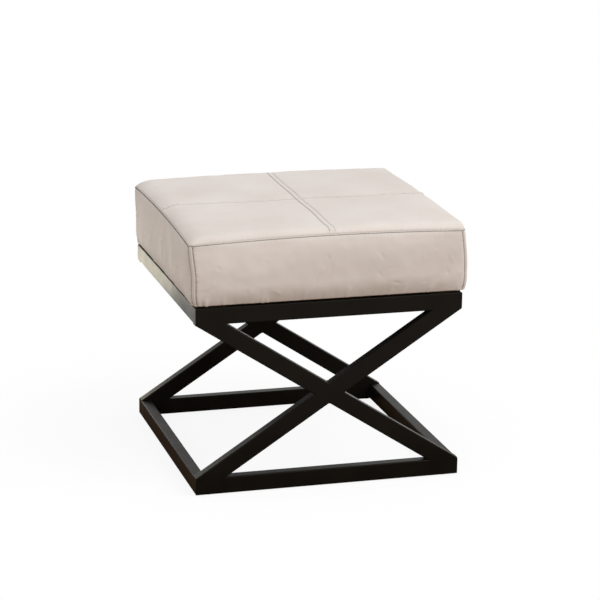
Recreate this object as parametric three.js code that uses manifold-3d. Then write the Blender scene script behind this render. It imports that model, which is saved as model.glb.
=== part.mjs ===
// An upholstered stool on a welded frame of rectangular steel tube.
// Two square rings of tube, one under the seat and one on the floor, are joined by a cross of the same
// tube at the front and at the back. The sides are open. The seat is a box cushion on a plywood board,
// held by four screws that come up through steel plates welded on the upper ring's corners.
// Millimetres, +Z up. The origin is the centre of the footprint, on the floor.

import * as THREE from "three";
import { mergeVertices } from "three/addons/utils/BufferGeometryUtils.js";
import Module from "manifold-3d";

const wasm = await Module();
wasm.setup();

// Frame
const frameSide = 480; // outside of the square frame
const frameHeight = 336; // underside of the lower ring to the top of the upper ring
const tubeFace = 30; // the tube's tall side, which faces outwards
const tubeDepth = 20; // the tube's narrow side
const tubeWall = 1.5;
const tubeCornerRadius = 2;

// Clearances
const seam = 0.3; // left between pieces that are welded, seated or sewn together
const cutOverrun = 1; // how far a cutting shape runs past what it cuts

// Floor glides, pushed into holes in the lower ring's underside
const glideInset = 25; // from the frame's outer face to the glide's centre
const glideHeadRadius = 6;
const glideHeadHeight = 1.5;
const glideStemRadius = 3;
const glideStemLength = 7;

// Plates on the upper ring, and what holds the seat to them
const plateSide = 56;
const plateEdgeInset = 3; // from the frame's outer face to the plate's edge
const plateChamfer = 18;
const plateThickness = 2;
const screwInset = 34; // from the frame's outer face to the screw
const screwRadius = 3;
const screwLength = 16;
const screwHeadRadius = 5.5;
const screwHeadHeight = 3.2;
const socketRadius = 2.3;
const socketDepth = 1.8;
const washerRadius = 7;
const washerThickness = 1.2;
const nutFlangeRadius = 10;
const nutFlangeThickness = 1.5;
const nutBarrelRadius = 4.2;
const nutBarrelLength = 8;

// Seat board and the black cloth below it
const boardThickness = 12;
const boardCornerRadius = 12;
const dustClothInset = 12; // from the frame's outer face to the cloth's edge
const dustClothThickness = 0.5;
const dustClothHoleRadius = 5;

// Cushion
const cushionSideHeight = 116; // from the cushion's underside to the top seam, at the middle of a side
const cushionCornerDrop = 6.5; // how far the top seam dips at the corners
const crownHeight = 10.5; // from the top seam up to the flat of the top
const crownRun = 20; // how far in from the seam the top flattens
const footSpread = 2.2; // how far the foot of the side stands out past the frame
const topSpread = 2.8; // how much further out the top seam stands
const sideSwell = 1.4;
const sideDrawIn = 3; // how far the top seam is pulled in at the middle of a side
const lowerEdgeRadius = 5;
const cushionCornerRadius = 10;
const channelDepth = 2.6; // the valley along the sewn middle seams of the top
const channelWidth = 22;
const coverThickness = 1.2;
const coverTurnUnder = 24; // how far the cover is folded in under the board
const waddingThickness = 5;
const softGap = 0.5; // left between the layers of the cushion

// Fineness of round shapes
const roundSides = 24;
const cornerSteps = 2;

// Where the cushion's grid lines lie, from the middle of the seat to its side
const gridShares = [0, 0.025, 0.06, 0.4, 0.8, 0.92, 0.965, 1];
const sideRowShares = [0, 0.22, 0.48, 0.74, 0.92, 1];
const edgeRowShares = [0, 0.5, 1];

// Heights that follow from the sizes above
const half = frameSide / 2;
const ringBase = glideHeadHeight;
const ringTop = ringBase + frameHeight;
const plateBase = ringTop + seam;
const dustClothBase = plateBase + plateThickness + seam;
const cushionBase = dustClothBase + dustClothThickness + seam;
const boardBase = cushionBase + coverThickness + seam;
const boardTop = boardBase + boardThickness;
const foamBase = boardTop + seam;
const waddingInset = coverThickness + softGap;
const foamInset = waddingInset + waddingThickness + softGap;
const tubeCentreInset = tubeDepth / 2;
const screwPlace = half - screwInset;
const screwSeat = plateBase - seam - washerThickness - seam; // where the screw's head bears

const quarterTurn = Math.PI / 2;
const corners = [
  { name: "front_left", x: -1, y: -1 },
  { name: "front_right", x: 1, y: -1 },
  { name: "back_right", x: 1, y: 1 },
  { name: "back_left", x: -1, y: 1 },
];
// Each side of the stool is the front turned by so many quarter turns.
const sides = [
  { name: "front", turns: 0 },
  { name: "right", turns: 1 },
  { name: "back", turns: 2 },
  { name: "left", turns: 3 },
];

const finish = (color, roughness, metalness) =>
  new THREE.MeshStandardMaterial({ color, roughness, metalness });
const blackPaint = () => finish("#1b1917", 0.42, 0.3);
const zincSteel = () => finish("#b9bcbe", 0.35, 0.9);
const softCover = () => finish("#d8c9be", 0.6, 0);
const birchPly = () => finish("#cfb083", 0.7, 0);
const foamRubber = () => finish("#efe3b8", 0.9, 0);
const wadding = () => finish("#f2f0ea", 1, 0);
const blackCloth = () => finish("#242323", 0.95, 0);
const blackNylon = () => finish("#1c1c1c", 0.5, 0);

const stool = new THREE.Group();

function addPiece(name, geometry, material) {
  const piece = new THREE.Mesh(geometry, material);
  piece.name = name;
  stool.add(piece);
  return piece;
}

// Solids for cutting

function solidOf(geometry) {
  const bare = geometry.index ? geometry.toNonIndexed() : geometry.clone();
  bare.deleteAttribute("normal");
  bare.deleteAttribute("uv");
  const merged = mergeVertices(bare, 1e-4);
  const mesh = new wasm.Mesh({
    numProp: 3,
    vertProperties: merged.attributes.position.array,
    triVerts: new Uint32Array(merged.index.array),
  });
  return new wasm.Manifold(mesh);
}

function geometryOf(solid) {
  const { vertProperties, triVerts } = solid.getMesh();
  const geometry = new THREE.BufferGeometry();
  geometry.setAttribute("position", new THREE.BufferAttribute(vertProperties, 3));
  geometry.setIndex(new THREE.BufferAttribute(triVerts, 1));
  const flat = geometry.toNonIndexed();
  flat.computeVertexNormals();
  return flat;
}

function cutBy(geometry, cutters) {
  return geometryOf(cutters.reduce((left, cutter) => left.subtract(solidOf(cutter)), solidOf(geometry)));
}

// An upright round rod from one height to another
function rod(radius, low, high, x, y, sidesRound = roundSides) {
  const geometry = new THREE.CylinderGeometry(radius, radius, high - low, sidesRound);
  return geometry.rotateX(quarterTurn).translate(x, y, (low + high) / 2);
}

// A turned piece from its outline in [radius, height], which closes on itself or ends on the axis
function turned(outline) {
  const points = outline.map(([radius, height]) => new THREE.Vector2(radius, height));
  return new THREE.LatheGeometry(points, roundSides).rotateX(quarterTurn);
}

// Tube

function roundedRectangle(target, width, height, radius) {
  const [w, h] = [width / 2, height / 2];
  target.moveTo(w, h - radius);
  target.absarc(w - radius, h - radius, radius, 0, quarterTurn);
  target.absarc(-w + radius, h - radius, radius, quarterTurn, 2 * quarterTurn);
  target.absarc(-w + radius, -h + radius, radius, 2 * quarterTurn, 3 * quarterTurn);
  target.absarc(w - radius, -h + radius, radius, 3 * quarterTurn, 4 * quarterTurn);
  return target;
}

// A length of tube along X, with its narrow side along Y and its tall side along Z.
// Its ends are open, and each is cut along the plane that startAt or endAt gives as x at a (y, z).
function tube(startAt, endAt) {
  const section = roundedRectangle(new THREE.Shape(), tubeDepth, tubeFace, tubeCornerRadius);
  const boreRadius = Math.max(tubeCornerRadius - tubeWall, tubeWall / 4);
  const bore = new THREE.Path();
  roundedRectangle(bore, tubeDepth - 2 * tubeWall, tubeFace - 2 * tubeWall, boreRadius);
  section.holes.push(bore);
  const geometry = new THREE.ExtrudeGeometry(section, {
    depth: 1,
    bevelEnabled: false,
    curveSegments: cornerSteps,
  });
  const position = geometry.attributes.position;
  for (let i = 0; i < position.count; i++) {
    const [y, z, end] = [position.getX(i), position.getY(i), position.getZ(i)];
    const x = end < 0.5 ? startAt(y, z) : endAt(y, z);
    position.setXYZ(i, x, y, z);
  }
  geometry.computeVertexNormals();
  return geometry;
}

// Rails, mitred into square rings

const mitreSetback = seam / 2 / Math.sin(quarterTurn / 2);

function railGeometry(holes) {
  const reach = (y) => half - mitreSetback - (y + tubeCentreInset);
  const rail = tube((y) => -reach(y), (y) => reach(y));
  return holes.length ? cutBy(rail, holes) : rail;
}

function glideHoles() {
  const place = half - glideInset;
  const low = -tubeFace / 2 - cutOverrun;
  const high = -tubeFace / 2 + tubeWall + cutOverrun;
  return [-place, place].map((x) => rod(glideStemRadius + seam, low, high, x, 0));
}

function addRing(level, centreHeight, holesOf) {
  for (const side of sides) {
    const onFrontOrBack = side.turns % 2 === 0;
    const rail = railGeometry(onFrontOrBack ? holesOf() : []);
    rail.translate(0, -(half - tubeCentreInset), centreHeight);
    const piece = addPiece(`${level}_${side.name}_rail`, rail, blackPaint());
    piece.rotation.z = side.turns * quarterTurn;
  }
}

// Cross bars between the rings, at the front and at the back

const innerHeight = frameHeight - 2 * tubeFace;
const crossAngle =
  Math.atan2(innerHeight, frameSide) + Math.asin(tubeFace / Math.hypot(frameSide, innerHeight));

// Where a bar that rises at crossAngle meets a level line so far above or below the crossing
const endAtLevel = (level) => (y, z) => (level - z * Math.cos(crossAngle)) / Math.sin(crossAngle);
// Where a bar that falls at crossAngle meets the side of the rising bar
const endAtRisingBar = (offset) => (y, z) =>
  (z * Math.cos(2 * crossAngle) + offset) / Math.sin(2 * crossAngle);

function addCross(place, turns) {
  const reach = innerHeight / 2 - seam;
  const beside = tubeFace / 2 + seam;
  const fallingEnd = (level) => (y, z) => -endAtLevel(level)(y, z);
  const bars = [
    { name: "long_bar", angle: -crossAngle, start: endAtLevel(-reach), end: endAtLevel(reach) },
    { name: "upper_half_bar", angle: crossAngle, start: fallingEnd(reach), end: endAtRisingBar(-beside) },
    { name: "lower_half_bar", angle: crossAngle, start: endAtRisingBar(beside), end: fallingEnd(-reach) },
  ];
  for (const bar of bars) {
    const geometry = tube(bar.start, bar.end).rotateY(bar.angle);
    geometry.translate(0, -(half - tubeCentreInset), ringBase + frameHeight / 2);
    const piece = addPiece(`${place}_cross_${bar.name}`, geometry, blackPaint());
    piece.rotation.z = turns * quarterTurn;
  }
}

// Floor glides

function addGlides() {
  const stemTop = glideHeadHeight + glideStemLength;
  const outline = [
    [0, 0],
    [glideHeadRadius * 0.85, 0],
    [glideHeadRadius, glideHeadHeight / 2],
    [glideHeadRadius, glideHeadHeight - seam],
    [glideStemRadius, glideHeadHeight - seam],
    [glideStemRadius, stemTop - glideStemRadius / 2],
    [glideStemRadius / 2, stemTop],
    [0, stemTop],
  ];
  for (const corner of corners) {
    const glide = addPiece(`floor_glide_${corner.name}`, turned(outline), blackNylon());
    glide.position.set(corner.x * (half - glideInset), corner.y * (half - tubeCentreInset), 0);
  }
}

// Corner plates on the upper ring, drawn for the corner at +X +Y and turned to each corner

function plateGeometry() {
  const near = half - plateEdgeInset - plateSide;
  const far = half - plateEdgeInset;
  const outline = new THREE.Shape();
  outline.moveTo(far, near);
  outline.lineTo(far, far);
  outline.lineTo(near, far);
  outline.lineTo(near, near + plateChamfer);
  outline.lineTo(near + plateChamfer, near);
  outline.closePath();
  const hole = new THREE.Path();
  hole.absarc(screwPlace, screwPlace, screwRadius + seam, 0, 4 * quarterTurn, true);
  outline.holes.push(hole);
  return new THREE.ExtrudeGeometry(outline, {
    depth: plateThickness,
    bevelEnabled: false,
    curveSegments: roundSides,
  });
}

// Button-head screw, head down, with a six-sided socket in the head
function screwGeometry() {
  const outline = [
    [0, -screwHeadHeight],
    [screwHeadRadius * 0.55, -screwHeadHeight],
    [screwHeadRadius * 0.85, -screwHeadHeight * 0.7],
    [screwHeadRadius, -screwHeadHeight * 0.2],
    [screwHeadRadius, 0],
    [screwRadius, 0],
    [screwRadius, screwLength - screwRadius / 3],
    [screwRadius * 2 / 3, screwLength],
    [0, screwLength],
  ];
  const socketLow = -screwHeadHeight - cutOverrun;
  const socket = rod(socketRadius, socketLow, socketDepth - screwHeadHeight, 0, 0, 6);
  return cutBy(turned(outline), [socket]);
}

function washerGeometry() {
  const bore = screwRadius + seam;
  return turned([
    [bore, 0],
    [washerRadius, 0],
    [washerRadius, washerThickness],
    [bore, washerThickness],
    [bore, 0],
  ]);
}

// Flanged nut with a threaded barrel, let into the top of the board
function nutGeometry() {
  const bore = screwRadius + seam;
  return turned([
    [bore, -nutBarrelLength],
    [nutBarrelRadius, -nutBarrelLength],
    [nutBarrelRadius, -nutFlangeThickness],
    [nutFlangeRadius, -nutFlangeThickness],
    [nutFlangeRadius, 0],
    [bore, 0],
    [bore, -nutBarrelLength],
  ]);
}

function addFasteners() {
  for (const [index, corner] of corners.entries()) {
    const plate = addPiece(`corner_plate_${corner.name}`, plateGeometry(), blackPaint());
    plate.position.z = plateBase;
    plate.rotation.z = (index - 2) * quarterTurn;
    const [x, y] = [corner.x * screwPlace, corner.y * screwPlace];
    const washer = addPiece(`seat_washer_${corner.name}`, washerGeometry(), zincSteel());
    washer.position.set(x, y, plateBase - seam - washerThickness);
    const screw = addPiece(`seat_screw_${corner.name}`, screwGeometry(), zincSteel());
    screw.position.set(x, y, screwSeat);
    const nut = addPiece(`tee_nut_${corner.name}`, nutGeometry(), zincSteel());
    nut.position.set(x, y, boardTop);
  }
}

// Cushion surface. u and v run from -1 to 1 across the seat, and inset draws the surface in all round.

const clamp = (value) => THREE.MathUtils.clamp(value, 0, 1);
const easeOut = (value) => 1 - (1 - clamp(value)) ** 2;
const cornerPull = cushionCornerRadius * (1 - Math.SQRT1_2);

// How far the side stands out past the frame, at a share of its height
const spreadAt = (share) => footSpread + topSpread * share + sideSwell * Math.sin(Math.PI * clamp(share));

function planPlace(u, v, spread, share) {
  const reach = half + spread;
  const nearCorner = (t) => clamp((Math.abs(t) * reach - reach + cushionCornerRadius) / cushionCornerRadius);
  const pull = cornerPull * nearCorner(u) * nearCorner(v);
  const drawn = (t) => reach - sideDrawIn * share * (1 - t * t);
  return [u * drawn(v) - Math.sign(u) * pull, v * drawn(u) - Math.sign(v) * pull];
}

const seamHeight = (u, v) => cushionBase + cushionSideHeight - cushionCornerDrop * Math.abs(u * v) ** 3;

function topPoint(u, v, inset) {
  const [x, y] = planPlace(u, v, spreadAt(1) - inset, 1);
  const inwards = easeOut(((1 - Math.abs(u)) * half) / crownRun) * easeOut(((1 - Math.abs(v)) * half) / crownRun);
  const valley = (t) => Math.exp(-(((2 * t) / channelWidth) ** 2));
  const rise = crownHeight - channelDepth * Math.max(valley(x), valley(y));
  return new THREE.Vector3(x, y, seamHeight(u, v) - inset + rise * inwards);
}

// A point on the front side, at a share of the way from a foot at low up to the top seam
function sidePoint(u, share, inset, low) {
  const fromBase = (low - cushionBase) / cushionSideHeight;
  const heightShare = THREE.MathUtils.lerp(fromBase, 1, share);
  const [x, y] = planPlace(u, -1, spreadAt(heightShare) - inset, heightShare);
  const z = THREE.MathUtils.lerp(low, seamHeight(u, -1) - inset, share);
  return new THREE.Vector3(x, y, z);
}

// A point on the rounded lower edge of the front side: share 0 is under the seat, share 1 on the side
function lowerEdgePoint(u, share, inset) {
  const radius = lowerEdgeRadius - inset;
  const angle = share * quarterTurn;
  const spread = footSpread - lowerEdgeRadius + radius * Math.sin(angle);
  const [x, y] = planPlace(u, -1, spread, 0);
  return new THREE.Vector3(x, y, cushionBase + lowerEdgeRadius - radius * Math.cos(angle));
}

function underPoint(u, spread, height) {
  const [x, y] = planPlace(u, -1, spread, 0);
  return new THREE.Vector3(x, y, height);
}

// Grids of points, joined into closed solids

const fullLine = [...gridShares.slice(1).map((share) => -share).reverse(), ...gridShares];

const gridOf = (rows, columns, pointAt) => rows.map((row) => columns.map((column) => pointAt(row, column)));
const flipped = (grid) => grid.map((row) => [...row].reverse());
const shifted = (grid, offset) => grid.map((row) => row.map((point) => point.clone().add(offset)));
const spun = (grid, turns) =>
  grid.map((row) => row.map((point) => point.clone().applyAxisAngle(new THREE.Vector3(0, 0, 1), turns * quarterTurn)));
const columnOf = (grid, index) => grid.map((row) => row.at(index));

// One closed solid from grids that share their border points. A grid's faces look along row × column.
// Each four-sided cell is split along its higher diagonal, so that layers over each other split alike.
function solidFromGrids(grids) {
  const positions = [];
  const addFace = (a, b, c) => positions.push(...a.toArray(), ...b.toArray(), ...c.toArray());
  const addCell = (a, b, c, d) => {
    addFace(a, b, c);
    addFace(a, c, d);
  };
  for (const grid of grids) {
    for (let i = 0; i + 1 < grid.length; i++) {
      for (let j = 0; j + 1 < grid[i].length; j++) {
        const [a, b, c, d] = [grid[i][j], grid[i + 1][j], grid[i + 1][j + 1], grid[i][j + 1]];
        if (a.z + c.z >= b.z + d.z) addCell(a, b, c, d);
        else addCell(b, c, d, a);
      }
    }
  }
  const geometry = new THREE.BufferGeometry();
  geometry.setAttribute("position", new THREE.Float32BufferAttribute(positions, 3));
  geometry.computeVertexNormals();
  return geometry;
}

// A sheet with its outer and inner faces given, closed round its four edges
function sheetSolid(outer, inner) {
  const edges = [
    [outer[0], inner[0]],
    [inner.at(-1), outer.at(-1)],
    [columnOf(inner, 0), columnOf(outer, 0)],
    [columnOf(outer, -1), columnOf(inner, -1)],
  ];
  return solidFromGrids([outer, flipped(inner), ...edges.map(([a, b]) => [b, a])]);
}

// Faces of the cushion. Rows run upwards on a side and along u on the top.

const sideRows = (inset, low, shares) =>
  gridOf(shares, fullLine, (share, u) => sidePoint(u, share, inset, low));
const edgeRows = (inset) => gridOf(edgeRowShares, fullLine, (share, u) => lowerEdgePoint(u, share, inset));
const topGrid = (inset) => gridOf(fullLine, fullLine, (u, v) => topPoint(u, v, inset));
const aboveFoot = sideRowShares.slice(1);
const sideLow = cushionBase + lowerEdgeRadius;

function foamGeometry() {
  const side = sideRows(foamInset, foamBase, sideRowShares);
  const foot = (u, v) => {
    const share = (foamBase - cushionBase) / cushionSideHeight;
    const [x, y] = planPlace(u, v, spreadAt(share) - foamInset, share);
    return new THREE.Vector3(x, y, foamBase);
  };
  const bottom = gridOf(fullLine, fullLine, foot);
  const walls = sides.map(({ turns }) => flipped(spun(side, turns)));
  return solidFromGrids([topGrid(foamInset), flipped(bottom), ...walls]);
}

function waddingGeometry() {
  const outer = [...edgeRows(waddingInset), ...sideRows(waddingInset, sideLow, aboveFoot)];
  const innerInset = waddingInset + waddingThickness;
  const footHeight = cushionBase + waddingInset;
  const foot = [fullLine.map((u) => underPoint(u, footSpread - innerInset, footHeight))];
  const inner = [...foot, ...sideRows(innerInset, sideLow, sideRowShares)];
  const rim = [inner[0], outer[0]];
  const walls = sides.flatMap(({ turns }) => [
    flipped(spun(outer, turns)),
    spun(inner, turns),
    flipped(spun(rim, turns)),
  ]);
  return solidFromGrids([topGrid(waddingInset), flipped(topGrid(innerInset)), ...walls]);
}

function sidePanelGeometry() {
  const face = (inset) => {
    const fold = [fullLine.map((u) => underPoint(u, -coverTurnUnder, cushionBase + inset))];
    return flipped([...fold, ...edgeRows(inset), ...sideRows(inset, sideLow, aboveFoot)]);
  };
  const outwards = new THREE.Vector3(0, -seam / 2, 0);
  return sheetSolid(shifted(face(0), outwards), shifted(face(coverThickness), outwards));
}

function topPanelGeometry(corner) {
  const along = (sign) => (sign > 0 ? gridShares : gridShares.map((share) => -share).reverse());
  const outwards = new THREE.Vector3(corner.x, corner.y, 1).multiplyScalar(seam / 2);
  const face = (inset) =>
    shifted(gridOf(along(corner.x), along(corner.y), (u, v) => topPoint(u, v, inset)), outwards);
  return sheetSolid(face(0), face(coverThickness));
}

function addCushion() {
  addPiece("foam_block", foamGeometry(), foamRubber());
  addPiece("wadding_wrap", waddingGeometry(), wadding());
  for (const side of sides) {
    const panel = addPiece(`cover_side_${side.name}`, sidePanelGeometry(), softCover());
    panel.rotation.z = side.turns * quarterTurn;
  }
  for (const corner of corners) {
    addPiece(`cover_top_${corner.name}`, topPanelGeometry(corner), softCover());
  }
}

// Seat board, and the cloth that closes the seat from below

function squareSheet(reach, radius, holeRadius, thickness) {
  const outline = roundedRectangle(new THREE.Shape(), 2 * reach, 2 * reach, radius);
  for (const corner of corners) {
    const hole = new THREE.Path();
    hole.absarc(corner.x * screwPlace, corner.y * screwPlace, holeRadius, 0, 4 * quarterTurn, true);
    outline.holes.push(hole);
  }
  return new THREE.ExtrudeGeometry(outline, {
    depth: thickness,
    bevelEnabled: false,
    curveSegments: roundSides / 2,
  });
}

function addBoard() {
  const reach = half + footSpread - waddingInset - waddingThickness - softGap;
  const board = squareSheet(reach, boardCornerRadius, nutBarrelRadius + seam, boardThickness);
  const pocketFloor = boardThickness - nutFlangeThickness - seam;
  const pockets = corners.map((corner) =>
    rod(
      nutFlangeRadius + seam,
      pocketFloor,
      boardThickness + cutOverrun,
      corner.x * screwPlace,
      corner.y * screwPlace,
    ),
  );
  addPiece("seat_board", cutBy(board, pockets), birchPly()).position.z = boardBase;
}

function addDustCloth() {
  const reach = half - dustClothInset;
  const cloth = squareSheet(reach, boardCornerRadius / 2, dustClothHoleRadius, dustClothThickness);
  addPiece("dust_cloth", cloth, blackCloth()).position.z = dustClothBase;
}

addRing("lower", ringBase + tubeFace / 2, glideHoles);
addRing("upper", ringTop - tubeFace / 2, () => []);
addCross("front", 0);
addCross("back", 2);
addGlides();
addFasteners();
addBoard();
addDustCloth();
addCushion();

export default stool;
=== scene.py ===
# Square upholstered stool on a welded frame of black steel tube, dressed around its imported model.
# The model is in metres with +Z up; the code works in millimetres and scales each mesh once.

import math

import bpy
import numpy as np
from mathutils import Matrix, Vector


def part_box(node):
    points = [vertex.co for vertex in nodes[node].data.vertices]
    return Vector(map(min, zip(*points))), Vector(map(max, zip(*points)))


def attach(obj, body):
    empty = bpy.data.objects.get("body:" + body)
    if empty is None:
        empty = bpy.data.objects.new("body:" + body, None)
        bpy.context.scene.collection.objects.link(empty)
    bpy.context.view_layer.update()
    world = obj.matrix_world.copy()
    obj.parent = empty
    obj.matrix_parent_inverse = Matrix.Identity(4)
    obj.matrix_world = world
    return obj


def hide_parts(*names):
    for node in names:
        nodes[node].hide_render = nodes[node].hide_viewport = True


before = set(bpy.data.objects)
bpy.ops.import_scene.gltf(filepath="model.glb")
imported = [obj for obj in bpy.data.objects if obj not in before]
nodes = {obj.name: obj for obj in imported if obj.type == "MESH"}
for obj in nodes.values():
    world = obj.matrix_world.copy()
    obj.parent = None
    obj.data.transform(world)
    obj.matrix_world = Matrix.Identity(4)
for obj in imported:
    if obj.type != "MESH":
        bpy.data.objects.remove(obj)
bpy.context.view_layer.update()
mm = 0.001
body = "root"
sideNames = ["front", "right", "back", "left"]  # each is the front turned by one more quarter turn
cornerNames = {"front_left": (-1, -1), "front_right": (1, -1), "back_right": (1, 1), "back_left": (-1, 1)}
print("frame loaded:", len(nodes), "nodes")


def boxMm(node):
    low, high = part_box(node)
    return np.array(low) / mm, np.array(high) / mm


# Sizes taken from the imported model, in millimetres
railLow, railHigh = boxMm("lower_front_rail")
half = -railLow[1]  # from the middle to the outer faces of the frame and of the square cushion
steel = {
    "face": railHigh[2] - railLow[2],
    "depth": railHigh[1] - railLow[1],
    "base": railLow[2],
    "top": boxMm("upper_front_rail")[1][2],
    "cornerRadius": 2.0,
}


# Camera

cameraSet = {
    "place": (-1083.1, -3864.7, 1363.5),
    "azimuth": 15.825,
    "elevation": 15.169,
    "roll": 0.591,
    "lens": 136.3,
    "sensor": 36.0,
    "clipEnd": 100,  # metres
}


def makeCamera():
    # Turned to the right by azimuth, then looking down by elevation, then rolled
    turns = (-cameraSet["azimuth"], "Z"), (90 - cameraSet["elevation"], "X"), (cameraSet["roll"], "Z")
    turn = Matrix()
    for angle, axis in turns:
        turn = turn @ Matrix.Rotation(math.radians(angle), 4, axis)
    data = bpy.data.cameras.new("camera")
    data.lens = cameraSet["lens"]
    data.sensor_width = cameraSet["sensor"]
    data.clip_end = cameraSet["clipEnd"]
    camera = bpy.data.objects.new("camera", data)
    camera.matrix_world = Matrix.Translation(Vector(cameraSet["place"]) * mm) @ turn
    bpy.context.collection.objects.link(camera)
    bpy.context.scene.camera = camera


makeCamera()
print("camera placed")


# Materials

def hexColour(code):
    channels = [int(code[i:i + 2], 16) / 255 for i in (1, 3, 5)]
    linear = [c / 12.92 if c <= 0.04045 else ((c + 0.055) / 1.055) ** 2.4 for c in channels]
    return (*linear, 1.0)


def addNode(tree, kind, values=None, links=None, stops=(), **settings):
    # The stops are a colour ramp's places and colours.
    node = tree.nodes.new("ShaderNode" + kind)
    for name, value in settings.items():
        setattr(node, name, value)
    for socket, value in (values or {}).items():
        node.inputs[socket].default_value = value
    for socket, source in (links or {}).items():
        tree.links.new(source, node.inputs[socket])
    for _ in stops[2:]:
        node.color_ramp.elements.new(0.5)
    for number, (place, code) in enumerate(stops):
        node.color_ramp.elements[number].position = place
        node.color_ramp.elements[number].color = hexColour(code)
    return node


def newMaterial(name, values=None):
    material = bpy.data.materials.new(name)
    material.use_nodes = True
    tree = material.node_tree
    tree.nodes.clear()
    shader = addNode(tree, "BsdfPrincipled", values)
    addNode(tree, "OutputMaterial", links={"Surface": shader.outputs[0]})
    place = addNode(tree, "TexCoord").outputs["Object"]
    return material, tree, shader, place


def perMetre(sizeMm):
    return 1 / (sizeMm * mm)  # the texture scale at which one feature is so many millimetres across


def showPattern(tree, shader, pattern, stops=(), bump=None, gloss=None):
    # One pattern can colour a surface, raise it (strength and millimetres) and change its roughness.
    if stops:
        colour = addNode(tree, "ValToRGB", links={"Fac": pattern}, stops=stops)
        tree.links.new(colour.outputs["Color"], shader.inputs["Base Color"])
    if bump:
        values = {"Strength": bump[0], "Distance": bump[1] * mm}
        raised = addNode(tree, "Bump", values, {"Height": pattern})
        tree.links.new(raised.outputs["Normal"], shader.inputs["Normal"])
    if gloss:
        # A noise mostly stays between 0.3 and 0.7.
        values = {"From Min": 0.3, "From Max": 0.7, "To Min": gloss[0], "To Max": gloss[1]}
        rough = addNode(tree, "MapRange", values, {"Value": pattern})
        tree.links.new(rough.outputs["Result"], shader.inputs["Roughness"])


def makePowderCoat():
    # Satin polyester powder coat, baked on steel: soft highlights with a faint orange peel. The matting
    # agent in it dulls its shine, and most of all the glancing one.
    values = {"Specular Tint": hexColour("#e0d4c0"), "Specular IOR Level": 0.1}
    material, tree, shader, place = newMaterial("satinPowderCoat", values)
    peel = addNode(tree, "TexNoise", {"Scale": perMetre(2.2), "Detail": 2.0}, {"Vector": place})
    drift = addNode(tree, "TexNoise", {"Scale": perMetre(60), "Detail": 3.0}, {"Vector": place})
    stops = [(0.3, "#100e0c"), (0.7, "#151310")]
    showPattern(tree, shader, drift.outputs["Fac"], stops, gloss=(0.3, 0.38))
    showPattern(tree, shader, peel.outputs["Fac"], bump=(0.12, 0.3))
    return material


def makeFauxLeather():
    # Polyurethane leather on a knitted backing: fine pebble grain with a soft, slightly oily sheen.
    values = {"Specular IOR Level": 0.45, "Sheen Weight": 0.1, "Sheen Roughness": 0.4}
    material, tree, shader, place = newMaterial("polyurethaneLeather", values)
    cloudy = addNode(tree, "TexNoise", {"Scale": perMetre(110), "Detail": 4.0}, {"Vector": place})
    stops = [(0.3, "#ccc3bb"), (0.5, "#d1c8c1"), (0.72, "#d6cec8")]
    colour = addNode(tree, "ValToRGB", links={"Fac": cloudy.outputs["Fac"]}, stops=stops)
    # Painted highlight: the ridges of the cover, such as its seams and welts, are drawn lighter the more
    # pointed they are.
    shape = addNode(tree, "NewGeometry")
    ridge = {"From Min": 0.525, "From Max": 0.6}
    ridgeHighlight = addNode(tree, "MapRange", ridge, {"Value": shape.outputs["Pointiness"]})
    links = {0: ridgeHighlight.outputs["Result"], 6: colour.outputs["Color"]}
    ridgeHighlightColour = addNode(tree, "Mix", {7: hexColour("#e9e1d9")}, links, data_type="RGBA")
    tree.links.new(ridgeHighlightColour.outputs[2], shader.inputs["Base Color"])
    # Real grain is about 0.6 mm; it is drawn at 1.6 mm so that it shows.
    pebble = {"Scale": perMetre(1.6), "Randomness": 1.0}
    grain = addNode(tree, "TexVoronoi", pebble, {"Vector": place}, feature="SMOOTH_F1")
    crumple = addNode(tree, "TexNoise", {"Scale": perMetre(9), "Detail": 5.0}, {"Vector": place})
    links = {0: crumple.outputs["Fac"], 2: grain.outputs["Distance"]}
    height = addNode(tree, "Math", {1: 0.6}, links, operation="MULTIPLY_ADD")
    showPattern(tree, shader, height.outputs[0], bump=(0.16, 0.4))
    showPattern(tree, shader, crumple.outputs["Fac"], gloss=(0.58, 0.66))
    return material


def makeThread():
    # Bonded polyester thread, twisted: a dull dark cord, a little mottled by its twist.
    material, tree, shader, place = newMaterial("bondedPolyesterThread", {"Roughness": 0.7})
    ply = addNode(tree, "TexNoise", {"Scale": perMetre(0.9), "Detail": 1.0}, {"Vector": place})
    showPattern(tree, shader, ply.outputs["Fac"], [(0.35, "#2a231f"), (0.65, "#443a34")])
    return material


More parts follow.
